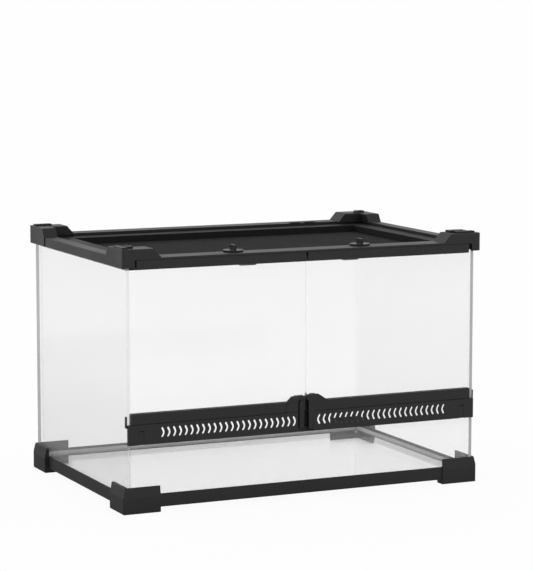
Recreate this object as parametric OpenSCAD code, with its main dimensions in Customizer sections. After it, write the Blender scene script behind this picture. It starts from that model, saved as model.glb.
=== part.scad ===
// Front-opening glass terrarium: corner feet, base rails, glass box, two
// hinged doors above a slotted vent strip, top frame with stacking corners
// and a lift-off screen lid. Origin at the middle of the footprint, on the
// surface it stands on. X to the right, Y to the back, Z up.

/* [Overall size] */
// Outer width of the top frame
outer_w = 460; // [420:10:600]
// Outer depth of the top frame
outer_d = 312; // [300:4:420]
// Height of the upper face of the top rails
rim_z = 294; // [260:1:420]

/* [Corners] */
// Height of the stacking blocks above the rails
block_h = 10.5; // [6:0.5:14]
// Height of the locating ribs on the blocks
rib_h = 2.6; // [1:0.2:4]
// Height of the feet
foot_h = 31.2; // [27:0.2:36]
// Length of a foot along the front
foot_x = 46; // [38:1:60]
// Length of a foot along the side
foot_y = 43.5; // [38:0.5:60]
// Wall thickness of a foot
foot_t = 14; // [12:0.5:18]

/* [Glass] */
// Thickness of the fixed panes and doors
glass_t = 4; // [3:0.5:4]

/* [Vent strip] */
// Lower edge of the vent strip
strip_z = 80; // [60:0.2:100]
// Number of chevron slots in each half
slot_count = 24; // [4:1:24]
// Distance between slots
slot_pitch = 7.22; // [5:0.01:7.22]
// Height of a slot
slot_h = 12.4; // [8:0.2:13]
// Width of a slot
slot_w = 2.4; // [1.5:0.1:2.6]

/* [Doors] */
// Half of the gap between the two doors
door_gap = 0.6; // [0.5:0.1:1]
// Radius of the hinge pins
pin_r = 1.25; // [1:0.05:1.4]
// Radial clearance of the hinge pins and locks
fit = 0.05; // [0.03:0.01:0.1]

/* [Lid] */
// Width of the lid's rim
lid_rim = 20.5; // [16:0.5:24]
// Thickness of the screen
mesh_t = 0.5; // [0.3:0.1:0.6]
// Distance of the locks from the middle
lock_x = 82; // [70:1:90]
// Radius of a lock's disc
lock_r = 11.9; // [11:0.1:13]

/* [Cable inlets] */
// Position of the first inlet pocket
gate_x = 115.3; // [60:0.1:118]
// Distance between the two inlets
gate_pitch = 20.2; // [19:0.1:26]

/* [Hidden] */

$fn = 48;
W2 = outer_w / 2;
D2 = outer_d / 2;
black = "#2c2c2d";
clear = [0.85, 0.92, 0.92, 0.35];

// fixed panes: outer faces
gx = W2 - 5.7;            // side panes, outer face
gxi = gx - glass_t;       // side panes, inner face
gyb = D2 - 3.2;           // back pane, outer face
gyf = D2 - 4.3;           // lower front pane, outer face (towards -Y)
slack = 0.1;              // gap beside a pane in its groove

// base
fy = D2 - 2;              // front feet, outer face
fyb = D2 - 0.1;           // back feet, outer face
rail_z0 = 5.7;            // base rails, underside
rail_z1 = 21.4;           // base rails, upper face
seat_z = rail_z1 - 5.2;   // panes stand here; upper face of the floor
floor_z = seat_z - glass_t;

// top frame
lift = 0.6;               // back and right rails stand this much higher
fz = rim_z - 11;          // underside
hz = rim_z - 2.1;         // underside of the front plate, above the door headers
gz = rim_z - 2.9;         // top of the grooves for the panes
glass_top = rim_z - 3;
lz = rim_z - 12.8;        // ledge for the lid
ld = 2.2;                 // ledge thickness
bz = rim_z + block_h;     // top of the stacking blocks
side_w = 15.5;            // width of the side rails
front_w = 27;             // width of the front rail
back_w = 25;              // width of the back rail
cb_x = 47.5;              // corner pieces: length along the front
cb_y = 52.3;              // corner pieces: length along the sides
head_y = D2 - 14.6;       // back of the door header space

// doors
hx = W2 - 22;             // hinge axis
hy = D2 - 5;              // hinge axis, distance in front of the middle
mid = 0.8;                // the doors meet here
dg0 = D2 - 3;             // door glass, front face
dg1 = dg0 - glass_t;      // door glass, back face
strip_h = 23.2;
sz1 = strip_z + strip_h;  // top of the vent strip
dr_z0 = sz1 + 0.4;        // door bottom rail
dr_z1 = dr_z0 + 12.2;
bump_z = dr_z0 + 18.7;    // top of the latch housing
pz = dr_z0 + 17.1;        // top of the grip recess
head_z0 = rim_z - 13;     // door header rail
head_z1 = rim_z - 2.4;
sf = D2 - 0.4;            // vent strip and headers, front face

// lid
lid_x = W2 - 17.5;
lid_y = D2 - 28.8;
lid_z1 = rim_z - 2.6;
lid_z0 = lid_z1 - 8;
ret_t = lid_z0 - mesh_t - lz - 0.05;
lock_y = D2 - 20.8;
lock_c = -2.7;            // middle between the two locks

module bx(x0, x1, y0, y1, z0, z1)
  translate([x0, y0, z0]) cube([x1 - x0, y1 - y0, z1 - z0]);
// outline given as (Y, Z), drawn out along X
module ext_x(x0, x1)
  translate([x0, 0, 0]) rotate([90, 0, 90]) linear_extrude(x1 - x0) children();
// outline given as (X, Z), drawn out along Y
module ext_y(y0, y1)
  translate([0, y1, 0]) rotate([90, 0, 0]) linear_extrude(y1 - y0) children();
module flip(on) if (on) mirror([1, 0, 0]) children(); else children();

// plan with one rounded outer corner at (-x, -y)
module corner_plan(x, y, r, lx, ly, z0, z1)
  translate([-x, -y, z0]) linear_extrude(z1 - z0) {
    translate([r, r]) circle(r);
    translate([r, 0]) square([lx - r, ly]);
    translate([0, r]) square([lx, ly - r]);
  }

// ---------------------------------------------------------------- base
// corner foot at (-X, -Y); g is the outer face of the pane on the Y side
module foot(g, fy) {
  v = 18.5; lx = 2.5; ly = 1.8; c = 0.8;
  difference() {
    intersection() {
      ext_x(-W2, -W2 + foot_x) polygon([[-fy + c, 0], [-fy, c], [-fy, v],
        [-fy + ly, foot_h - c], [-fy + ly + c, foot_h], [-fy + foot_y, foot_h], [-fy + foot_y, 0]]);
      ext_y(-fy, -fy + foot_y) polygon([[-W2 + c, 0], [-W2, c], [-W2, v],
        [-W2 + lx, foot_h - c], [-W2 + lx + c, foot_h], [-W2 + foot_x, foot_h], [-W2 + foot_x, 0]]);
      corner_plan(W2, fy, 2.2, foot_x, foot_y, -1, foot_h + 1);
    }
    // inner corner stays open
    bx(-W2 + foot_t, -W2 + foot_x + 1, -fy + foot_t, -fy + foot_y + 1, -1, foot_h + 1);
    bx(-gxi, -W2 + foot_x + 1, -g + glass_t, -fy + foot_y + 1, floor_z, foot_h + 1);
    // side pane
    bx(-gx - slack, -gxi + slack, -g - slack, -fy + foot_y + 1, seat_z, foot_h + 1);
    // front or back pane
    bx(-gxi, -W2 + foot_x + 1, -g - slack, -g + glass_t + slack, seat_z, foot_h + 1);
  }
}
module foot_front_left() color(black) foot(gyf, fy);
module foot_front_right() color(black) mirror([1, 0, 0]) foot(gyf, fy);
module foot_back_left() color(black) mirror([0, 1, 0]) foot(gyb, fyb);
module foot_back_right() color(black) mirror([1, 0, 0]) mirror([0, 1, 0]) foot(gyb, fyb);

// base rail outline; g is the pane's outer face, measured from the middle
module rail_2d(g) polygon([[-g - 0.9, rail_z0 + 0.6], [-g - 0.9, rail_z1 - 0.4], [-g - 0.7, rail_z1],
  [-g - slack, rail_z1], [-g - slack, seat_z], [-g + glass_t + slack, seat_z],
  [-g + glass_t + slack, floor_z], [-g + 12, floor_z], [-g + 12, floor_z - 3.5], [-g + 6, floor_z - 3.5],
  [-g + 5, rail_z0], [-g - 0.3, rail_z0]]);
module base_rail_front() color(black) ext_x(-W2 + foot_x, W2 - foot_x) rail_2d(gyf);
module base_rail_back() color(black) mirror([0, 1, 0]) ext_x(-W2 + foot_x, W2 - foot_x) rail_2d(gyb);
module base_rail_left() color(black) ext_y(-fy + foot_y, fyb - foot_y) rail_2d(gx);
module base_rail_right() color(black) mirror([1, 0, 0]) ext_y(-fy + foot_y, fyb - foot_y) rail_2d(gx);

module floor_glass() color(clear)
  bx(-gxi + slack, gxi - slack, -gyf + glass_t + slack, gyb - glass_t - slack, floor_z, seat_z);

// ---------------------------------------------------------------- fixed panes
module side_pane() bx(-gx, -gxi, -gyf, gyb, seat_z, glass_top);
module left_glass() color(clear) side_pane();
module right_glass() color(clear) mirror([1, 0, 0]) side_pane();
module back_glass() color(clear) bx(-gxi, gxi, gyb - glass_t, gyb, seat_z, glass_top);
module front_lower_glass() color(clear) bx(-gxi, gxi, -gyf, -gyf + glass_t, seat_z, strip_z + 4.2);

// three-sided bead standing in an inner corner at (x, y), legs towards (sx, sy)
module bead_z(x, y, sx, sy, z0, z1)
  translate([x, y, z0]) linear_extrude(z1 - z0) polygon([[0, 0], [3 * sx, 0], [0, 3 * sy]]);
module silicone_seals() color([0.9, 0.93, 0.93, 0.5]) {
  for (s = [-1, 1]) {
    bead_z(s * gxi, gyb - glass_t, -s, -1, seat_z + 3, lz - ld - 0.1);
    bead_z(s * gxi, -gyf + glass_t, -s, 1, seat_z + 3, strip_z - 0.1);
    ext_y(-gyf + glass_t, gyb - glass_t)
      polygon([[s * gxi, seat_z], [s * (gxi - 3), seat_z], [s * gxi, seat_z + 3]]);
  }
  ext_x(-gxi + 3, gxi - 3) polygon([[gyb - glass_t, seat_z],
    [gyb - glass_t - 3, seat_z], [gyb - glass_t, seat_z + 3]]);
  ext_x(-gxi + 3, gxi - 3) polygon([[-gyf + glass_t, seat_z],
    [-gyf + glass_t + 3, seat_z], [-gyf + glass_t, seat_z + 3]]);
}

// ---------------------------------------------------------------- vent strip
// one bowed slot, its point towards +X
module chevron() {
  h = slot_h / 2 - slot_w / 2; a = 1.05; r = slot_w / 2;
  ts = [-1, -0.6, -0.25, 0, 0.25, 0.6, 1];
  function mid_line(t) = [a * (1 - 2 * pow(abs(t), 1.5)), h * t];
  function along(t) = [-3 * a * sign(t) * sqrt(abs(t)), h] / norm([-3 * a * sign(t) * sqrt(abs(t)), h]);
  function across(t) = [along(t)[1], -along(t)[0]];
  polygon(concat(
    [for (t = ts) mid_line(t) + r * across(t)],
    [mid_line(1) + r * (0.6 * across(1) + 0.8 * along(1)), mid_line(1) + r * (-0.6 * across(1) + 0.8 * along(1))],
    [for (i = [6 : -1 : 0]) mid_line(ts[i]) - r * across(ts[i])],
    [mid_line(-1) + r * (-0.6 * across(-1) - 0.8 * along(-1)), mid_line(-1) + r * (0.6 * across(-1) - 0.8 * along(-1))]));
}
clip_x0 = hx - 3; clip_x1 = hx + 3;
pull_l = -10.6; plate_r = 9.6;
slot_l = -3; slot_r = 3.4;   // deep slot between pull and tab
module vent_strip() color(black) difference() {
  union() {
    // slotted front plate
    ext_y(-sf, -sf + 1.5) difference() {
      translate([-W2 + 6, strip_z]) square([2 * W2 - 12, strip_h]);
      for (k = [0 : slot_count - 1]) {
        translate([-15.3 - k * slot_pitch, strip_z + strip_h / 2 + 1.4]) chevron();
        translate([16.5 + k * slot_pitch, strip_z + strip_h / 2 + 1.4]) mirror([1, 0, 0]) chevron();
      }
    }
    // upper flange
    bx(-gxi + 0.2, gxi - 0.2, -sf + 1.4, -D2 + 9.8, sz1 - 3, sz1);
    // lip in front of, web above and lip behind the lower pane
    bx(-gxi + 0.2, gxi - 0.2, -sf + 1.4, -D2 + 9.8, strip_z, strip_z + 6);
    // middle block behind the grip recess
    bx(pull_l - 0.9, plate_r + 1, -sf + 1.4, -sf + 4.4, strip_z, sz1);
    bx(pull_l + 1.2, plate_r + 1, -sf + 4.3, -D2 + 9.8, strip_z, sz1);
    // ends
    for (s = [-1, 1]) {
      bx(s > 0 ? W2 - 10.2 : -W2 + 6, s > 0 ? W2 - 6 : -W2 + 10.2, -sf + 1.4, -gyf - 0.1, strip_z, sz1);
      bx(s > 0 ? clip_x0 - 6 : -gxi + 0.2, s > 0 ? gxi - 0.2 : -clip_x0 + 6, -sf + 1.4, -D2 + 9.8, strip_z, sz1);
    }
    // boss for the door bolt
    bx(mid, 8, -D2 + 9.6, -D2 + 13, sz1 - 3, sz1);
  }
  // lower pane
  bx(-gxi, gxi, -gyf - slack, -gyf + glass_t + slack, strip_z - 1, strip_z + 4.3);
  // grip recess with one rounded corner
  ext_y(-sf - 1, -sf + 3.2) {
    translate([pull_l + 5, strip_z + 1.2]) square([plate_r - pull_l - 5, strip_h]);
    translate([pull_l, strip_z + 6.2]) square([10, strip_h]);
    translate([pull_l + 5, strip_z + 6.2]) circle(5);
  }
  bx(slot_l, slot_r + 1, -sf + 3, -sf + 3.7, strip_z + 3, sz1 + 1);
  bx(slot_l, slot_r + 1, -sf + 3.6, -sf + 7, strip_z + 5.1, sz1 + 1);
  // hinge clips
  for (s = [-1, 1])
    bx(s > 0 ? clip_x0 - 0.15 : -clip_x1 - 0.15, s > 0 ? clip_x1 + 0.15 : -clip_x0 + 0.15,
       -sf - 1, -D2 + 11, strip_z - 1, strip_z + 16.2);
  for (s = [-1, 1])
    bx(s > 0 ? clip_x0 - 0.15 : -clip_x1 - 0.15, s > 0 ? clip_x1 + 0.15 : -clip_x0 + 0.15,
       -sf + 1.5, -D2 + 11, strip_z - 1, sz1 + 1);
  // bolt hole
  translate([3.8, -D2 + 10.4, sz1 - 4]) cylinder(r = 1.1 + fit, h = 6);
}

// clip on the outside of a side pane, at the end of the strip
module bracket() {
  ext_x(-gx - 1, -gx) polygon([[-gyf - 1, sz1 - 3.5], [-gyf + 4, sz1 - 3.5], [-gyf + 4, sz1 + 8.5],
    [-gyf + 2.5, sz1 + 10], [-gyf - 1, sz1 + 10]]);
  bx(-gx - 1.4, -gx - 0.9, -gyf + 0.5, -gyf + 2.5, sz1 - 2, sz1 + 6.5);
}
module vent_bracket_left() color(black) bracket();
module vent_bracket_right() color(black) mirror([1, 0, 0]) bracket();

module hinge_clip() difference() {
  union() {
    bx(-clip_x1, -clip_x0, -sf + 0.2, -D2 + 9.8, strip_z + 0.3, strip_z + 15.1);
    bx(-clip_x1, -clip_x0, -sf + 1.6, -D2 + 9.8, strip_z + 0.3, sz1);
  }
  bx(-gxi, gxi, -gyf - slack, -gyf + glass_t + slack, strip_z - 1, strip_z + 4.3);
  translate([-hx, -hy, sz1 - 5.5]) cylinder(r = pin_r + fit, h = 10);
}
module hinge_clip_left() color(black) hinge_clip();
module hinge_clip_right() color(black) mirror([1, 0, 0]) hinge_clip();

// ---------------------------------------------------------------- top frame
ch = 0.6;
module side_rail_2d(up) polygon([[-W2 + 0.3, fz], [-W2, fz + 0.3], [-W2, rim_z + up - ch], [-W2 + ch, rim_z + up],
  [-W2 + side_w, rim_z + up], [-W2 + side_w, lz], [-W2 + 30, lz], [-W2 + 30, lz - ld],
  [-W2 + 10.1, lz - ld], [-W2 + 10.1, gz], [-W2 + 5.4, gz], [-W2 + 5.4, fz]]);
module back_rail_2d() polygon([[D2 - 0.3, fz], [D2, fz + 0.3], [D2, rim_z + lift - ch], [D2 - ch, rim_z + lift],
  [D2 - back_w, rim_z + lift], [D2 - back_w, lz], [D2 - 41, lz], [D2 - 41, lz - ld],
  [D2 - 10.1, lz - ld], [D2 - 10.1, fz], [gyb - 4.4, fz], [gyb - 4.4, gz], [gyb + 0.3, gz], [gyb + 0.3, fz]]);
module front_rail_2d() polygon([[-D2, hz], [-D2, rim_z - ch], [-D2 + ch, rim_z],
  [-D2 + front_w, rim_z], [-D2 + front_w, lz], [-D2 + 39, lz], [-D2 + 39, lz - ld],
  [-head_y, lz - ld], [-head_y, hz]]);

module top_rail_left() color(black) ext_y(-D2 + cb_y, D2 - cb_y) side_rail_2d(0);
module top_rail_right() color(black) mirror([1, 0, 0]) ext_y(-D2 + cb_y, D2 - cb_y) side_rail_2d(lift);
module top_rail_front() color(black) difference() {
  ext_x(-W2 + cb_x, W2 - cb_x) front_rail_2d();
  for (s = [-1, 1]) translate([lock_c + s * lock_x, -lock_y, 0]) {
    // pocket for the lid's ear
    bx(-11.6, 11.6, lock_y - head_y + 0.1, 8, rim_z - 2.5, rim_z + 1);
    // slot and turning room for the lock's foot
    bx(-5.2, 5.2, -2.15, 2.15, rim_z - 9, rim_z);
    translate([0, 0, lz - ld - 1]) cylinder(r = 5.4, h = 10.2);
  }
}
module top_rail_back() color(black) difference() {
  ext_x(-W2 + cb_x, W2 - cb_x) back_rail_2d();
  for (k = [0, 1]) translate([gate_x + k * gate_pitch, 0, 0]) {
    bx(0, 17.4, D2 - 24, D2 - 12.5, rim_z - 2.5, rim_z + 1);
    bx(12.4, 17.2, D2 - 21.5, D2 - 13.5, lz - ld - 1, rim_z);
  }
}

// block of a corner piece at (-X, -Y), above z0; o is how far it stands out
// sideways past the rail, ribs its locating ribs as [x0, x1, y0, y1, height]
module blocks(z0, o, ribs) {
  c = 0.9; w = W2 + o;
  intersection() {
    union() {
      ext_y(-D2, -D2 + 28) polygon([[-w, z0], [-w, bz - c], [-w + c, bz], [-W2 + 38, bz],
        [-W2 + cb_x, rim_z], [-W2 + cb_x, z0]]);
      ext_x(-w, -W2 + 16.5) polygon([[-D2, z0], [-D2, bz - c], [-D2 + c, bz], [-D2 + 45.5, bz],
        [-D2 + cb_y, rim_z], [-D2 + cb_y, z0]]);
    }
    union() {
      ext_x(-w, -W2 + cb_x) polygon([[-D2, z0], [-D2, bz - c], [-D2 + c, bz], [-D2 + 28 - c, bz],
        [-D2 + 28, bz - c], [-D2 + 28, z0]]);
      ext_x(-w, -W2 + 16.5) polygon([[-D2, z0], [-D2, bz - c], [-D2 + c, bz], [-D2 + cb_y, bz], [-D2 + cb_y, z0]]);
    }
    union() {
      ext_y(-D2, -D2 + cb_y) polygon([[-w, z0], [-w, bz - c], [-w + c, bz], [-W2 + 16.5 - c, bz],
        [-W2 + 16.5, bz - c], [-W2 + 16.5, z0]]);
      ext_y(-D2, -D2 + 28) polygon([[-w, z0], [-w, bz - c], [-w + c, bz], [-W2 + cb_x, bz], [-W2 + cb_x, z0]]);
    }
    corner_plan(w, D2, 2.4, cb_x + o, cb_y, z0 - 1, bz + 1);
  }
  for (r = ribs) bx(-W2 + r[0], -W2 + r[1], -D2 + r[2], -D2 + r[3], bz - 0.5, bz + r[4]);
}
// p is the length of the front post beside the door header
module corner_front(p, o, ribs) difference() {
  union() {
    blocks(hz - 0.01, o, ribs);
    intersection() {
      bx(-W2 - o, -W2 + p, -D2, -head_y, fz, hz + 1);
      corner_plan(W2 + o, D2, 2.4, cb_x + o, cb_y, fz - 1, bz);
    }
    ext_y(-head_y - 0.01, -D2 + cb_y) polygon([[-W2 - o + 0.3, fz], [-W2 - o, fz + 0.3], [-W2 - o, rim_z - 1],
      [-W2 + side_w, rim_z - 1], [-W2 + side_w, lz], [-W2 + 30, lz], [-W2 + 30, lz - ld],
      [-W2 + 10.1, lz - ld], [-W2 + 10.1, gz], [-W2 + 5.4, gz], [-W2 + 5.4, fz]]);
    ext_x(-W2 + 12.5, -W2 + cb_x) polygon([[-head_y, lz - ld], [-head_y, hz + 1], [-D2 + front_w, hz + 1],
      [-D2 + front_w, lz], [-D2 + 39, lz], [-D2 + 39, lz - ld]]);
  }
  bx(-gx - 0.3, -gxi + 0.4, -gyf - 0.3, 0, lz - 10, gz);
  bx(-W2 + p, -W2 + cb_x + 1, -D2 - 1, -head_y, lz - 10, hz);
  translate([-hx, -hy, hz - 1]) cylinder(r = pin_r + fit, h = 6.6);
}
module corner_back(o, ribs) mirror([0, 1, 0]) difference() {
  union() {
    blocks(rim_z - 1.01, o, ribs);
    intersection() {
      union() {
        bx(-W2 - o, -W2 + cb_x, -D2, -D2 + back_w, fz, rim_z - 1);
        bx(-W2 - o, -W2 + side_w, -D2, -D2 + cb_y, fz, rim_z - 1);
      }
      corner_plan(W2 + o, D2, 2.4, cb_x + o, cb_y, fz - 1, bz);
    }
    bx(-W2 + 10.1, -W2 + cb_x, -D2 + 10.1, -D2 + back_w, lz - ld, fz + 0.1);
    bx(-W2 + 10.1, -W2 + side_w, -D2 + 10.1, -D2 + cb_y, lz - ld, fz + 0.1);
    bx(-W2 + 10.1, -W2 + cb_x, -D2 + 10.1, -D2 + 41, lz - ld, lz);
    bx(-W2 + 10.1, -W2 + 30, -D2 + 10.1, -D2 + cb_y, lz - ld, lz);
  }
  bx(-gxi - 0.1, 0, -gyb - 0.3, -gyb + glass_t + 0.4, fz - 1, gz);
  bx(-gx - 0.3, -gxi + 0.4, -gyb - 0.3, 0, lz - 10, gz);
}
post_l = 15.1; post_r = 9.8;
module top_corner_front_left() color(black)
  corner_front(post_l, 0, [[0.9, 7.9, 3.5, 32, rib_h - 0.6], [7.8, 17.1, 10.5, 20, rib_h]]);
module top_corner_front_right() color(black) mirror([1, 0, 0])
  corner_front(post_r, 1.6, [[4, 29, 5, 13, rib_h - 0.6], [16, 33.5, 12.9, 24, rib_h]]);
module top_corner_back_left() color(black)
  corner_back(0.9, [[1, 22.4, 8, 16, rib_h - 0.4]]);
module top_corner_back_right() color(black) mirror([1, 0, 0])
  corner_back(1.6, [[18, 23.5, 21, 26.5, rib_h - 1.2], [7.7, 18.5, 13, 22, rib_h - 0.2]]);

// magnetic catches behind the door headers
catch_l = 70; catch_r = 62.5;
module door_catches() color("#262627") for (x = [-catch_l, catch_r]) translate([x, 0, 0]) {
  bx(-9.5, 9.5, -D2 + 9.7, -head_y, lz - ld - 0.6, rim_z - 6);
  bx(-9.5, 9.5, -head_y - 0.01, -head_y + 2, lz - ld - 0.6, lz - ld);
}

// cable inlet covers
module gate(x) translate([x, 0, 0]) {
  bx(0.3, 12, D2 - 23.8, D2 - 12.7, rim_z - 2.4, rim_z - 0.9);
  bx(0.3, 12, D2 - 23.8, D2 - 21, rim_z - 0.91, rim_z + 1.8);
  bx(7.2, 8.6, D2 - 21.01, D2 - 14.5, rim_z - 0.91, rim_z + 0.6);
}
module cable_gate_inner() color("#242425") gate(gate_x);
module cable_gate_outer() color("#242425") gate(gate_x + gate_pitch);

// ---------------------------------------------------------------- doors
// left-hand door parts; g is the free edge, e the outer end of the header.
// The lower free corner of the glass is cut out for the latch housing.
module door_glass(g, e) ext_y(-dg0, -dg1) polygon([[-W2 + 11, dr_z0 + 3.6], [g - 13, dr_z0 + 3.6], [g - 13, bump_z - 1.4], [g, bump_z - 1.4],
  [g, head_z0 + 5.5], [-W2 + e + 0.4, head_z0 + 5.5], [-W2 + e + 0.4, lz - ld - 0.6], [-W2 + 11, lz - ld - 0.6]]);
// c is the distance of its strike from the middle
module door_header(g, e, c) difference() {
  translate([0, 0, head_z0]) linear_extrude(head_z1 - head_z0)
    polygon([[-W2 + e, -sf + 1.4], [-W2 + e + 1, -sf], [g, -sf], [g, -D2 + 9.5],
             [-W2 + e + 1, -D2 + 9.5], [-W2 + e, -D2 + 8.2]]);
  bx(-W2 + e + 0.3, g + 1, -dg0, -dg1, head_z0 - 1, head_z0 + 5.6);
  translate([-hx, -hy, head_z0 + 7]) cylinder(r = pin_r, h = 10);
  // strike pocket
  bx(-c - 9.1, -c + 9.1, -D2 + 8.5, -D2 + 10, head_z0 + 1, head_z0 + 6);
}
module door_rail(g) difference() {
  translate([0, 0, dr_z0]) linear_extrude(dr_z1 - dr_z0)
    polygon([[-W2 + 10.5, -sf + 1], [-W2 + 10.9, -sf + 0.6], [g, -sf + 0.6], [g, -D2 + 9.5],
             [-W2 + 11.1, -D2 + 9.5], [-W2 + 10.5, -D2 + 8.9]]);
  bx(-W2 + 10.9, g + 1, -dg0, -dg1, dr_z0 + 3.6, dr_z1 + 1);
  translate([-hx, -hy, dr_z0 - 1]) cylinder(r = pin_r, h = 3.8);
}
// half of the latch housing; g is its free edge, t the length of its top and
// up its extra height
module housing(g, t, up) {
  ext_y(-sf, -dg0 + 0.01) polygon([[g - 25.6, dr_z0], [g - 25.6, dr_z1 + 0.4], [g - t, bump_z + up], [g, bump_z + up], [g, dr_z0]]);
  ext_y(-dg0, -D2 + 8.5) polygon([[g - 13.6, dr_z0], [g - 13.6, bump_z - 1], [g - 12.6, bump_z + up], [g, bump_z + up], [g, dr_z0]]);
}
// slot for the glass in the housing and the part of it above the cut corner
module housing_slot(g) {
  bx(-40, g - 12.9, -dg0, -dg1, dr_z0 + 3.6, bump_z + 3);
  bx(g - 13, g + 1, -dg0, -dg1, bump_z - 1.4, bump_z + 3);
}
// thumb scoop in the front upper edge
module scoop(x, up) translate([x, -sf, bump_z + 15.2 + up]) rotate([-45, 0, 0]) translate([0, 0, -30]) cylinder(r = 12.8, h = 60);
// deep slot and the pocket round the bolt
module latch_slot() {
  bx(slot_l, slot_r, -sf - 1, -sf + 7, strip_z, pz - 4);
  bx(-1.6, 7.4, -dg1 - 0.01, -D2 + 14, bump_z - 2.4, bump_z + 3);
}
gl = mid - door_gap;      // free edge of the left door
gr = mid + door_gap;      // free edge of the right door
module pins(z0) {
  translate([-hx, -hy, sz1 - 5]) cylinder(r = pin_r, h = 7.8);
  translate([-hx, -hy, head_z0 + 7]) cylinder(r = pin_r, h = rim_z + 3 - head_z0 - 7);
}

head_l = 16.7; head_r = 13.1;
module left_door_glass() color(clear) door_glass(gl, head_l);
module left_door_top_rail() color(black) door_header(-0.3, head_l, catch_l);
module left_door_bottom_rail() color(black) difference() {
  union() { door_rail(gl); housing(gl, 18.7, 0); }
  housing_slot(gl);
  // finger recess
  ext_y(-sf - 1, -sf + 2.4) {
    translate([pull_l + 5, dr_z0 - 1]) square([gl - pull_l, pz - dr_z0 - 0.5]);
    translate([pull_l, dr_z0 - 1]) square([12, pz - dr_z0 - 5.5]);
    translate([pull_l + 5, pz - 6.5]) circle(5);
  }
  latch_slot();
  scoop(-10.2, 0);
}
module left_door_pull() color("#313132") ext_y(-sf, -sf + 2.4) {
  translate([-5.9, pz - 6.3]) circle(2.9);
  translate([-5.9, strip_z + 7]) circle(2.9);
  translate([-8.8, strip_z + 7]) square([5.8, pz - 6.3 - strip_z - 7]);
}
module left_hinge_pins() color("#b8babd") pins();
module strike(c) bx(-c - 9, -c + 9, -D2 + 8.5, -D2 + 9.5, head_z0 + 1.1, head_z0 + 5.9);
module left_strike() color("#b8babd") strike(catch_l);

module right_door_glass() color(clear) mirror([1, 0, 0]) door_glass(-gr, head_r);
module right_door_top_rail() color(black) mirror([1, 0, 0]) door_header(-1.9, head_r, catch_r);
module right_door_bottom_rail() color(black) difference() {
  union() {
    mirror([1, 0, 0]) { door_rail(-gr); housing(-gr, 14.6, 1.2); }
    // boss for the bolt
    bx(gr, 8, -dg1, -D2 + 13, dr_z0, bump_z - 1.6);
    // tab that hangs in front of the vent strip
    ext_y(-sf, -sf + 2.9) translate([slot_r, strip_z + 2.4]) square([plate_r - 0.3 - slot_r, 28]);
  }
  mirror([1, 0, 0]) housing_slot(-gr);
  latch_slot();
  scoop(11.2, 1.2);
  translate([3.8, -D2 + 10.4, dr_z0 - 1]) cylinder(r = 1.1 + fit, h = 20);
}
module right_hinge_pins() color("#b8babd") mirror([1, 0, 0]) pins();
module right_strike() color("#b8babd") mirror([1, 0, 0]) strike(catch_r);
module door_bolt() color("#3a3d40") translate([3.8, -D2 + 10.4, 0]) {
  translate([0, 0, dr_z0 + 0.4]) cylinder(r = 1.1, h = bump_z + 1.6 - dr_z0 - 0.4);
  translate([0, 0, bump_z + 1.2]) cylinder(r1 = 1.5, r2 = 1.1, h = 0.8);
}

// ---------------------------------------------------------------- lid
module lid_frame() color(black) difference() {
  union() {
    difference() {
      bx(-lid_x, lid_x, -lid_y, lid_y, lid_z0, lid_z1);
      bx(-lid_x + lid_rim, lid_x - lid_rim, -lid_y + lid_rim + 0.5, lid_y - lid_rim - 1.7, lid_z0 - 1, lid_z1 + 1);
    }
    for (s = [-1, 1]) translate([lock_c + s * lock_x, 0, 0]) {
      bx(-11, 11, -lock_y - 5.9, -lid_y + 6, rim_z - 2.4, rim_z - 0.1);
      bx(-11, 11, -lid_y, -lid_y + 6, lid_z1 - 1, rim_z - 0.1);
    }
  }
  for (s = [-1, 1]) translate([lock_c + s * lock_x, -lock_y, rim_z - 4]) cylinder(r = 1.9 + fit, h = 6);
}
module lid_mesh() color("#4a4a4c")
  bx(-lid_x + 9, lid_x - 9, -lid_y + 9, lid_y - 9, lid_z0 - mesh_t, lid_z0);
module lid_mesh_retainers() color(black) {
  for (s = [-1, 1]) bx(s > 0 ? lid_x - 20 : -lid_x + 9, s > 0 ? lid_x - 9 : -lid_x + 20,
    -lid_y + 20, lid_y - 20, lid_z0 - mesh_t - ret_t, lid_z0 - mesh_t);
  for (s = [-1, 1]) bx(-lid_x + 9, lid_x - 9, s > 0 ? lid_y - 19.9 : -lid_y + 9, s > 0 ? lid_y - 9 : -lid_y + 19.9,
    lid_z0 - mesh_t - ret_t, lid_z0 - mesh_t);
}
// quarter-turn lock: disc, blade, shaft and foot
module lock(s) translate([lock_c + s * lock_x, -lock_y, 0]) {
  translate([0, 0, rim_z + 0.1]) cylinder(r = lock_r, h = 2.1);
  bx(-1.4, 1.4, -6.5, 6.5, rim_z + 2.1, rim_z + 8.2);
  translate([0, 0, rim_z - 9]) cylinder(r = 1.9, h = 9.2);
  bx(-4.8, 4.8, -1.5, 1.5, rim_z - 9.4, rim_z - 6.6);
}
module lid_lock_left() color(black) lock(-1);
module lid_lock_right() color(black) lock(1);

foot_front_left();
foot_front_right();
foot_back_left();
foot_back_right();
base_rail_front();
base_rail_back();
base_rail_left();
base_rail_right();
floor_glass();
left_glass();
right_glass();
back_glass();
front_lower_glass();
silicone_seals();
vent_strip();
vent_bracket_left();
vent_bracket_right();
hinge_clip_left();
hinge_clip_right();
top_rail_front();
top_rail_back();
top_rail_left();
top_rail_right();
top_corner_front_left();
top_corner_front_right();
top_corner_back_left();
top_corner_back_right();
door_catches();
cable_gate_inner();
cable_gate_outer();
left_door_glass();
left_door_top_rail();
left_door_bottom_rail();
left_door_pull();
left_hinge_pins();
left_strike();
right_door_glass();
right_door_top_rail();
right_door_bottom_rail();
right_hinge_pins();
right_strike();
door_bolt();
lid_frame();
lid_mesh();
lid_mesh_retainers();
lid_lock_left();
lid_lock_right();
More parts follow.
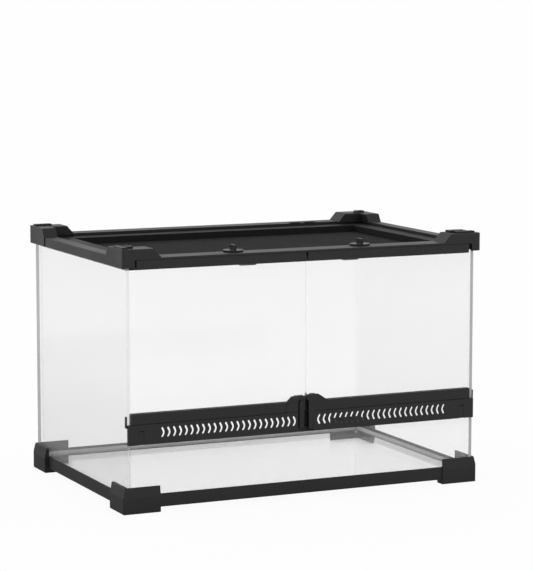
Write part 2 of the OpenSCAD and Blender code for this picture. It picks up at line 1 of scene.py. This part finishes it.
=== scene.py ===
import bpy
import math
import numpy as np
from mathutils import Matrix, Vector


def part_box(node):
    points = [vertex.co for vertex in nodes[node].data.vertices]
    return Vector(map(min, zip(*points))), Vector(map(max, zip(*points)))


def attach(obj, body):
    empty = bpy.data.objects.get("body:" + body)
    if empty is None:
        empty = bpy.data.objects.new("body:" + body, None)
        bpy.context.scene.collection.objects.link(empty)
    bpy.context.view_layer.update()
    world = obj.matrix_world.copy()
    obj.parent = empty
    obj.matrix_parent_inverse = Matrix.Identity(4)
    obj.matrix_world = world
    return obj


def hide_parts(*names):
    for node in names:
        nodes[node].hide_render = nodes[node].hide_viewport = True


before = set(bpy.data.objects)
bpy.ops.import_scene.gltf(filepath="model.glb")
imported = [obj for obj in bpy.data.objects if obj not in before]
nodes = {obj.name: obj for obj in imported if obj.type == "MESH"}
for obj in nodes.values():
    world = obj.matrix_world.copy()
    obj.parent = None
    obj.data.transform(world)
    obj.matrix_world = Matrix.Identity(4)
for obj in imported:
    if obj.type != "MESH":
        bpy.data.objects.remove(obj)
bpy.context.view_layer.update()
scene = bpy.context.scene
scene.view_settings.view_transform = "Standard"
scene.view_settings.look = "None"

# ------------------------------------------------------------------ camera
cam_data = bpy.data.cameras.new("camera")
cam_data.sensor_fit = "AUTO"
cam_data.sensor_width = 36.0
cam_data.lens = 153.22
cam_data.clip_start = 0.05
cam_data.clip_end = 200.0
cam = bpy.data.objects.new("camera", cam_data)
scene.collection.objects.link(cam)
cam.location = (-1.21794, -2.687686, 0.602413)
cam.rotation_euler = (math.radians(90 - 7.102), 0.0, math.radians(-24.734))
scene.camera = cam


# ------------------------------------------------------------------ node helpers
class Tree:
    """A short way to write node trees."""

    def __init__(self, name):
        self.mat = bpy.data.materials.new(name)
        self.mat.use_nodes = True
        self.nt = self.mat.node_tree
        self.nt.nodes.clear()
        self.out = self.nt.nodes.new("ShaderNodeOutputMaterial")

    def node(self, kind, **inputs):
        n = self.nt.nodes.new("ShaderNode" + kind)
        for key, value in inputs.items():
            if hasattr(n, key) and key not in n.inputs:
                setattr(n, key, value)
        return n

    def link(self, a, b):
        self.nt.links.new(a, b)

    def put(self, node, name, value):
        socket = node.inputs[name]
        if hasattr(value, "is_output"):
            self.link(value, socket)
        else:
            socket.default_value = value

    def coords(self):
        n = self.node("TexCoord")
        return n.outputs["Object"], n.outputs["Normal"]

    def scaled(self, vector, xyz, shift=(0, 0, 0)):
        n = self.node("Mapping")
        self.link(vector, n.inputs["Vector"])
        n.inputs["Scale"].default_value = xyz
        n.inputs["Location"].default_value = shift
        return n.outputs["Vector"]

    def noise(self, vector, scale, detail=3.0, rough=0.5):
        n = self.node("TexNoise")
        self.link(vector, n.inputs["Vector"])
        n.inputs["Scale"].default_value = scale
        n.inputs["Detail"].default_value = detail
        n.inputs["Roughness"].default_value = rough
        return n.outputs["Fac"]

    def voronoi(self, vector, scale):
        n = self.node("TexVoronoi")
        self.link(vector, n.inputs["Vector"])
        n.inputs["Scale"].default_value = scale
        return n.outputs["Distance"]

    def math(self, op, a, b=None, c=None, clamp=False):
        n = self.node("Math")
        n.operation = op
        n.use_clamp = clamp
        for i, v in enumerate((a, b, c)):
            if v is None:
                continue
            if hasattr(v, "is_output"):
                self.link(v, n.inputs[i])
            else:
                n.inputs[i].default_value = v
        return n.outputs[0]

    def span(self, value, a, b, c, d):
        n = self.node("MapRange")
        self.link(value, n.inputs["Value"])
        for k, v in zip(("From Min", "From Max", "To Min", "To Max"), (a, b, c, d)):
            n.inputs[k].default_value = v
        return n.outputs["Result"]

    def mix_colour(self, fac, a, b):
        n = self.node("Mix")
        n.data_type = "RGBA"
        if hasattr(fac, "is_output"):
            self.link(fac, n.inputs[0])
        else:
            n.inputs[0].default_value = fac
        for i, v in ((6, a), (7, b)):
            if hasattr(v, "is_output"):
                self.link(v, n.inputs[i])
            else:
                n.inputs[i].default_value = (*v, 1.0)
        return n.outputs[2]

    def mix_shader(self, fac, a, b):
        n = self.node("MixShader")
        if hasattr(fac, "is_output"):
            self.link(fac, n.inputs[0])
        else:
            n.inputs[0].default_value = fac
        self.link(a, n.inputs[1])
        self.link(b, n.inputs[2])
        return n.outputs[0]

    def bevel(self, radius, samples=4):
        n = self.node("Bevel")
        n.samples = samples
        n.inputs["Radius"].default_value = radius
        return n.outputs["Normal"]

    def bump(self, height, strength, distance, normal=None):
        n = self.node("Bump")
        n.inputs["Strength"].default_value = strength
        n.inputs["Distance"].default_value = distance
        self.link(height, n.inputs["Height"])
        if normal is not None:
            self.link(normal, n.inputs["Normal"])
        return n.outputs["Normal"]

    def edge(self, rounded):
        """1 near an outer or inner edge, 0 on open faces."""
        g = self.node("NewGeometry")
        d = self.node("VectorMath")
        d.operation = "DOT_PRODUCT"
        self.link(rounded, d.inputs[0])
        self.link(g.outputs["Normal"], d.inputs[1])
        return self.span(d.outputs["Value"], 0.93, 0.999, 1.0, 0.0)

    def finish(self, shader):
        self.link(shader, self.out.inputs["Surface"])
        return self.mat


def plastic(name, colour, worn, rough, shine, grain=1500.0, grain_depth=0.00006, shift=0.0, bevel=0.0006):
    """Moulded plastic: fine spark-eroded grain, soft clouding, paler rubbed edges."""
    t = Tree(name)
    obj, _ = t.coords()
    p = t.scaled(obj, (1, 1, 1), (shift, shift * 0.7, shift * 1.3))
    cloud = t.noise(p, 14.0, 4.0, 0.6)
    speck = t.noise(p, 420.0, 2.0, 0.5)
    rounded = t.bevel(bevel)
    edge = t.edge(rounded)
    rub = t.math("MULTIPLY", edge, t.span(cloud, 0.35, 0.75, 0.35, 1.0))
    low = tuple(c * 0.82 for c in colour)
    high = tuple(c * 1.22 for c in colour)
    base = t.mix_colour(t.span(cloud, 0.3, 0.7, 0.0, 1.0), low, high)
    base = t.mix_colour(t.math("MULTIPLY", t.span(speck, 0.45, 0.8, 0.0, 1.0), 0.35), base, worn)
    base = t.mix_colour(t.math("MULTIPLY", rub, 0.55), base, worn)
    b = t.node("BsdfPrincipled")
    t.link(base, b.inputs["Base Color"])
    b.inputs["Specular IOR Level"].default_value = shine
    r = t.math("ADD", t.span(cloud, 0.3, 0.7, rough - 0.05, rough + 0.05), t.math("MULTIPLY", edge, -0.06))
    t.link(r, b.inputs["Roughness"])
    grain_h = t.math("ADD", t.noise(p, grain, 2.0, 0.55), t.math("MULTIPLY", t.voronoi(p, grain * 0.6), 0.5))
    t.link(t.bump(grain_h, 0.35, grain_depth, rounded), b.inputs["Normal"])
    return t.finish(b.outputs[0])


def glass(name, axis, veil, end_axis, pos, neg, grazing=0.8, tint=(0.997, 0.998, 0.9975), shift=0.0):
    """Float glass: each face passes most of what is behind it, with a pale veil of haze and a weak
    mirror image that grows at grazing angles. The ground ends are told from the faces by the pane's
    own normal; pos and neg give (colour, cover) of the ends on the plus and the minus side of end_axis."""
    t = Tree(name)
    obj, normal = t.coords()
    p = t.scaled(obj, (1, 1, 1), (shift, shift, shift))
    sep = t.node("SeparateXYZ")
    t.link(normal, sep.inputs[0])
    on_face = t.math("GREATER_THAN", t.math("ABSOLUTE", sep.outputs[axis]), 0.6)
    weight = t.node("LayerWeight")
    weight.inputs["Blend"].default_value = 0.5
    schlick = t.math("MULTIPLY", t.math("POWER", weight.outputs["Facing"], 5.0), grazing)
    mirror = t.math("ADD", schlick, 0.02, clamp=True)
    clear = t.node("BsdfTransparent")
    clear.inputs["Color"].default_value = (*tint, 1.0)
    scatter = t.node("BsdfDiffuse")
    scatter.inputs["Color"].default_value = (0.97, 0.97, 0.97, 1.0)
    through = t.node("BsdfTranslucent")
    through.inputs["Color"].default_value = (0.97, 0.97, 0.97, 1.0)
    haze = t.mix_shader(0.6, scatter.outputs[0], through.outputs[0])
    film = t.span(t.noise(p, 9.0, 5.0, 0.6), 0.3, 0.7, veil - 0.006, veil + 0.006)
    gloss = t.node("BsdfGlossy")
    gloss.inputs["Color"].default_value = (0.95, 0.95, 0.95, 1.0)
    t.link(t.span(t.noise(p, 30.0, 2.0, 0.5), 0.3, 0.7, 0.03, 0.06), gloss.inputs["Roughness"])
    face = t.mix_shader(mirror, t.mix_shader(film, clear.outputs[0], haze), gloss.outputs[0])
    ground = t.node("BsdfPrincipled")
    streak = t.span(t.noise(t.scaled(p, (60, 60, 60)), 6.0, 3.0, 0.6), 0.3, 0.7, 0.0, 1.0)
    place = t.node("SeparateXYZ")
    t.link(obj, place.inputs[0])
    is_pos = t.math("GREATER_THAN", place.outputs[end_axis], 0.0)
    low = t.mix_colour(is_pos, tuple(c * 0.93 for c in neg[0]), tuple(c * 0.93 for c in pos[0]))
    high = t.mix_colour(is_pos, tuple(min(1.0, c * 1.05) for c in neg[0]), tuple(min(1.0, c * 1.05) for c in pos[0]))
    t.link(t.mix_colour(streak, low, high), ground.inputs["Base Color"])
    ground.inputs["Roughness"].default_value = 0.3
    cover = t.math("ADD", t.math("MULTIPLY", is_pos, pos[1] - neg[1]), neg[1])
    clear2 = t.node("BsdfTransparent")
    clear2.inputs["Color"].default_value = (*tint, 1.0)
    edge = t.mix_shader(cover, clear2.outputs[0], ground.outputs[0])
    return t.finish(t.mix_shader(on_face, edge, face))


def silicone(name, colour, cover, low):
    """Clear sealant. The bead round the floor, below 23 mm, is thicker than the upright ones and is drawn much milkier:
    partly its own milkiness, partly painted light that lightens the base rails seen through it.
    """
    t = Tree(name)
    obj, _ = t.coords()
    place = t.node("SeparateXYZ")
    t.link(obj, place.inputs[0])
    # below 23 mm the cover rises to the low value: the sealant's own milkiness plus painted light on the base rails
    # behind the bead
    milk_and_painted_light = t.math("ADD", t.math("MULTIPLY", t.math("LESS_THAN", place.outputs[2], 0.023), low - cover), cover)
    n = t.noise(obj, 55.0, 4.0, 0.6)
    b = t.node("BsdfPrincipled")
    t.link(t.mix_colour(t.span(n, 0.3, 0.7, 0.0, 1.0), tuple(c * 0.88 for c in colour), colour), b.inputs["Base Color"])
    t.link(t.span(n, 0.3, 0.7, 0.25, 0.4), b.inputs["Roughness"])
    t.link(t.bump(t.noise(obj, 160.0, 2.0), 0.3, 0.0004), b.inputs["Normal"])
    clear = t.node("BsdfTransparent")
    return t.finish(t.mix_shader(milk_and_painted_light, clear.outputs[0], b.outputs[0]))


def steel(name, colour, rough, drawn):
    """Drawn steel: fine lines along one axis."""
    t = Tree(name)
    obj, _ = t.coords()
    s = [900.0, 900.0, 900.0]
    s[drawn] = 25.0
    lines = t.noise(t.scaled(obj, tuple(s)), 2.0, 4.0, 0.6)
    rounded = t.bevel(0.0002)
    b = t.node("BsdfPrincipled")
    b.inputs["Metallic"].default_value = 1.0
    t.link(t.mix_colour(t.span(lines, 0.3, 0.7, 0.0, 1.0), tuple(c * 0.8 for c in colour), colour), b.inputs["Base Color"])
    t.link(t.span(lines, 0.3, 0.7, rough, rough + 0.14), b.inputs["Roughness"])
    t.link(t.bump(lines, 0.2, 0.00002, rounded), b.inputs["Normal"])
    return t.finish(b.outputs[0])


def wire(name, colour):
    """Black powder coat on thin wire."""
    t = Tree(name)
    obj, _ = t.coords()
    n = t.noise(obj, 900.0, 3.0, 0.6)
    cloud = t.noise(obj, 22.0, 3.0, 0.5)
    b = t.node("BsdfPrincipled")
    base = t.mix_colour(t.span(n, 0.3, 0.7, 0.0, 1.0), tuple(c * 0.7 for c in colour), tuple(c * 1.25 for c in colour))
    mottle = t.noise(obj, 170.0, 2.0, 0.6)
    base = t.mix_colour(t.span(mottle, 0.42, 0.6, 0.0, 1.0), tuple(c * 0.2 for c in colour), base)
    t.link(t.mix_colour(t.math("MULTIPLY", t.span(cloud, 0.35, 0.7, 0.0, 1.0), 0.3), base, tuple(c * 1.6 for c in colour)),
           b.inputs["Base Color"])
    t.link(t.span(n, 0.3, 0.7, 0.42, 0.6), b.inputs["Roughness"])
    b.inputs["Specular IOR Level"].default_value = 0.3
    return t.finish(b.outputs[0])


# ------------------------------------------------------------------ materials on the CAD nodes
BLACK = (0.0085, 0.0085, 0.0087)
WORN = (0.028, 0.028, 0.029)
m_frame = plastic("frame_plastic", BLACK, WORN, 0.5, 0.35)
m_foot = plastic("foot_plastic", (0.0148, 0.0148, 0.0151), WORN, 0.52, 0.33, shift=0.37)
m_door = plastic("door_plastic", (0.0072, 0.0072, 0.0074), WORN, 0.47, 0.35, shift=0.83)
m_strip = plastic("strip_plastic", BLACK, WORN, 0.48, 0.35, shift=1.31)
m_lid = plastic("lid_plastic", (0.0085, 0.0085, 0.0087), (0.022, 0.022, 0.023), 0.56, 0.1, shift=1.9)
m_clip = plastic("clip_plastic", (0.036, 0.036, 0.0365), WORN, 0.48, 0.35, shift=1.6)
m_small = plastic("fitting_plastic", (0.0045, 0.0045, 0.0047), WORN, 0.42, 0.33, grain=2200.0, shift=2.4, bevel=0.0004)
m_steel = steel("drawn_steel", (0.6, 0.61, 0.63), 0.28, 2)
m_bolt = steel("bolt_steel", (0.45, 0.455, 0.46), 0.34, 2)
m_strike = steel("strike_steel", (0.55, 0.56, 0.58), 0.3, 0)
# 0.4 cover on the floor bead below 23 mm: partly milky sealant, partly painted light on the base rails
m_seal = silicone("clear_sealant", (0.9, 0.91, 0.91), 0.03, 0.4)
m_wire = wire("screen_coating", (0.0105, 0.0102, 0.0105))
PALE = (0.86, 0.87, 0.87)
GREY = (0.42, 0.43, 0.43)
g_left = glass("glass_left", 0, 0.08, 1, (GREY, 0.8), ((0.62, 0.63, 0.63), 0.3), shift=0.2)
g_right = glass("glass_right", 0, 0.05, 1, (PALE, 0.0), (GREY, 0.95), shift=0.5)
g_back = glass("glass_back", 1, 0.015, 0, (PALE, 0.0), (PALE, 0.0), shift=0.9)
g_front = glass("glass_front", 1, 0.06, 0, (PALE, 0.1), (PALE, 0.1), shift=1.3)
g_floor = glass("glass_floor", 2, 0.06, 0, (PALE, 0.1), (PALE, 0.1), grazing=1.6, shift=1.7)
g_door = glass("glass_door", 1, 0.08, 0, (PALE, 0.12), (PALE, 0.12), shift=2.1)

LOOK = {}
for n in nodes:
    if n.startswith("foot_") or n.startswith("base_rail"):
        LOOK[n] = m_foot
    elif n.startswith("top_"):
        LOOK[n] = m_frame
    elif n.startswith("vent_bracket"):
        LOOK[n] = m_clip
    elif n.startswith("vent_") or n.startswith("hinge_clip"):
        LOOK[n] = m_strip
    elif n.endswith("door_top_rail") or n.endswith("door_bottom_rail"):
        LOOK[n] = m_door
    elif n in ("lid_frame", "lid_mesh_retainers"):
        LOOK[n] = m_lid
    elif n in ("lid_lock_left", "lid_lock_right", "cable_gate_inner", "cable_gate_outer", "left_door_pull", "door_catches"):
        LOOK[n] = m_small
LOOK.update({
    "left_hinge_pins": m_steel, "right_hinge_pins": m_steel, "door_bolt": m_bolt,
    "left_strike": m_strike, "right_strike": m_strike, "silicone_seals": m_seal,
    "left_glass": g_left, "right_glass": g_right, "back_glass": g_back,
    "front_lower_glass": g_front, "floor_glass": g_floor,
    "left_door_glass": g_door, "right_door_glass": g_door, "lid_mesh": m_wire,
})
for n, o in nodes.items():
    o.data.materials.clear()
    o.data.materials.append(LOOK[n])


# ------------------------------------------------------------------ woven screen
def mesh_object(name, verts, faces, mat, smooth=True):
    me = bpy.data.meshes.new(name)
    me.from_pydata(verts, [], faces)
    me.update()
    if smooth:
        me.polygons.foreach_set("use_smooth", [True] * len(me.polygons))
    me.materials.append(mat)
    o = bpy.data.objects.new(name, me)
    scene.collection.objects.link(o)
    return o


def woven(name, along, x0, x1, y0, y1, z, pitch, r, amp, mat):
    """Wires of a plain weave that run along X (0) or Y (1); they go over and under at each crossing."""
    nx = int((x1 - x0) / pitch)
    ny = int((y1 - y0) / pitch)
    px = (x1 - x0) / nx
    py = (y1 - y0) / ny
    count, cells = (ny + 1, nx) if along == 0 else (nx + 1, ny)
    sides, per = 6, 2
    ring = np.array([(math.cos(k * 2 * math.pi / sides), math.sin(k * 2 * math.pi / sides)) for k in range(sides)]) * r
    steps = cells * per + 1
    verts, faces = [], []
    for i in range(count):
        base = len(verts)
        for j in range(steps):
            u = j / per
            h = z + amp * math.cos(math.pi * (u + i + along))
            for c, s in ring:
                if along == 0:
                    verts.append((x0 + px * u, y0 + py * i + c, h + s))
                else:
                    verts.append((x0 + px * i + c, y0 + py * u, h + s))
        for j in range(steps - 1):
            a = base + sides * j
            for k in range(sides):
                k2 = (k + 1) % sides
                quad = (a + k, a + k2, a + sides + k2, a + sides + k)
                faces.append(quad if along == 1 else quad[::-1])
        end = base + sides * (steps - 1)
        cap0 = tuple(base + k for k in range(sides))
        cap1 = tuple(end + k for k in reversed(range(sides)))
        faces.append(cap0[::-1] if along == 1 else cap0)
        faces.append(cap1[::-1] if along == 1 else cap1)
    return mesh_object(name, verts, faces, mat)


lo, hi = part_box("lid_mesh")
PITCH = 0.00435
mid_z = (lo[2] + hi[2]) / 2 - 0.0001
screen = []
for axis, label in ((0, "screen_wires_x"), (1, "screen_wires_y")):
    w = woven(label, axis, lo[0] + 0.0006, hi[0] - 0.0006, lo[1] + 0.0006, hi[1] - 0.0006, mid_z, PITCH, 0.00033, 0.0002, m_wire)
    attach(w, "lid")
    screen.append(w)
for w in screen:
    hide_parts("lid_mesh")


# ------------------------------------------------------------------ floor and sky
def ground():
    """White sweep. What the camera sees is close to white; the light it throws back on the tank
    falls off towards the tank."""
    t = Tree("studio_floor")
    obj, _ = t.coords()
    path = t.node("LightPath")
    d = t.node("BsdfDiffuse")
    t.link(t.mix_colour(t.span(t.noise(obj, 1.5, 2.0), 0.3, 0.7, 0.0, 1.0), (0.93, 0.93, 0.93), (0.935, 0.935, 0.935)),
           d.inputs["Color"])
    e = t.node("Emission")
    e.inputs["Color"].default_value = (1, 1, 1, 1)
    e.inputs["Strength"].default_value = 1.0
    seen = t.mix_shader(0.93, d.outputs[0], e.outputs[0])
    length = t.node("VectorMath")
    length.operation = "LENGTH"
    t.link(obj, length.inputs[0])
    back = t.node("Emission")
    back.inputs["Color"].default_value = (1, 1, 1, 1)
    sep = t.node("SeparateXYZ")
    t.link(obj, sep.inputs[0])
    fall = t.span(length.outputs["Value"], 0.35, 1.5, 0.32, 0.85)
    ahead = t.span(sep.outputs["Y"], -0.14, -0.26, 0.0, 0.42)
    t.link(t.math("MINIMUM", t.math("ADD", fall, ahead), 0.95), back.inputs["Strength"])
    return t.finish(t.mix_shader(path.outputs["Is Camera Ray"], back.outputs[0], seen))


size = 60.0
floor = mesh_object("studio_floor", [(-size, -size, 0), (size, -size, 0), (size, size, 0), (-size, size, 0)],
                    [(0, 1, 2, 3)], ground(), smooth=False)
floor.location.z = -0.0002

world = bpy.data.worlds.new("studio")
scene.world = world
world.use_nodes = True
wn = world.node_tree
bg = wn.nodes["Background"]
bg.inputs["Color"].default_value = (1.0, 1.0, 1.0, 1.0)
bg.inputs["Strength"].default_value = 0.99
# soft light for the other rays, a little stronger from behind (+Y) than from the front
soft = wn.nodes.new("ShaderNodeBackground")
soft.inputs["Color"].default_value = (1.0, 1.0, 1.0, 1.0)
sky = wn.nodes.new("ShaderNodeTexCoord")
axes = wn.nodes.new("ShaderNodeSeparateXYZ")
wn.links.new(sky.outputs["Generated"], axes.inputs[0])
depth = wn.nodes.new("ShaderNodeMapRange")
wn.links.new(axes.outputs["Y"], depth.inputs["Value"])
for k, v in zip(("From Min", "From Max", "To Min", "To Max"), (-0.9, 0.3, 0.85, 1.0)):
    depth.inputs[k].default_value = v
wn.links.new(depth.outputs["Result"], soft.inputs["Strength"])
ray = wn.nodes.new("ShaderNodeLightPath")
pick = wn.nodes.new("ShaderNodeMixShader")
wn.links.new(ray.outputs["Is Camera Ray"], pick.inputs[0])
wn.links.new(soft.outputs[0], pick.inputs[1])
wn.links.new(bg.outputs[0], pick.inputs[2])
wn.links.new(pick.outputs[0], wn.nodes["World Output"].inputs["Surface"])
